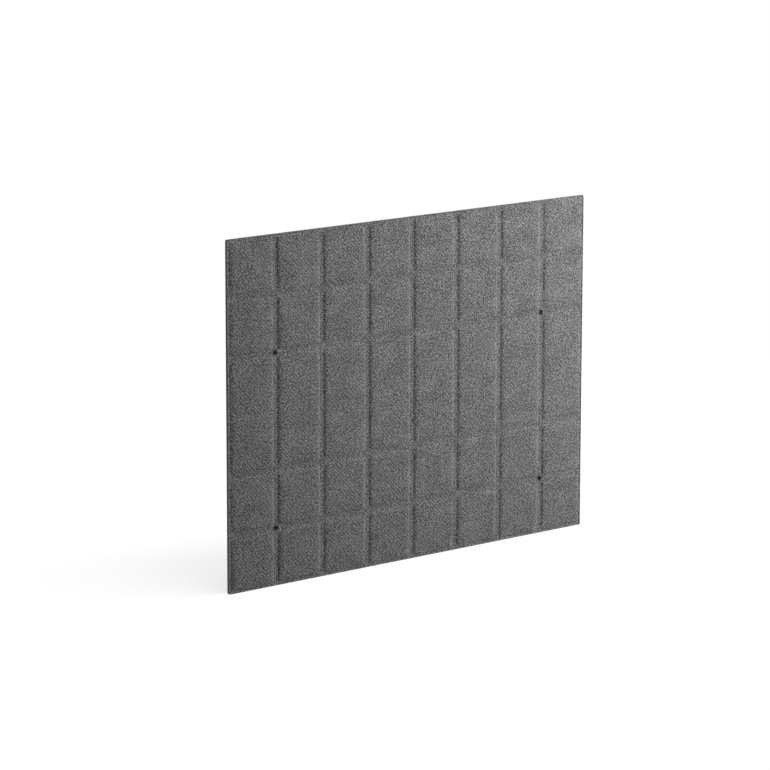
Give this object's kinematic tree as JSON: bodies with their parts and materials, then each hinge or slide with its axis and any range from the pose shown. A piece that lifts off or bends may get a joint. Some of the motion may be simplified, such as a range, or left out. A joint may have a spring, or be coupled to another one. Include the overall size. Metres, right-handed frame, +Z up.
{
  "type": "desk screen",
  "caption": "Rectangular moulded felt desk screen panel, embossed with rows of pads between grooves on both faces, with black through-bolt bushes at groove crossings.",
  "frame": {"origin": "middle of the panel's bottom edge, at half its thickness", "axes": "+X along the width, to the right as seen from the front; +Y through the thickness, from front to rear; +Z up"},
  "size_m": [0.8, 0.0104, 0.6],
  "materials": {
    "front_felt": "grey melange pressed felt",
    "rear_felt": "grey melange pressed felt",
    "fibre_core": "pressed grey fibre",
    "black_nylon": "satin moulded nylon"
  },
  "bodies": {
    "root": {"front_felt_facing": "front_felt", "rear_felt_facing": "rear_felt", "moulded_fibre_core": "fibre_core", "lower_left_front_bush": "black_nylon", "lower_left_rear_bush": "black_nylon", "lower_right_front_bush": "black_nylon", "lower_right_rear_bush": "black_nylon", "upper_left_front_bush": "black_nylon", "upper_left_rear_bush": "black_nylon", "upper_right_front_bush": "black_nylon", "upper_right_rear_bush": "black_nylon"}
  },
  "joints": []
}
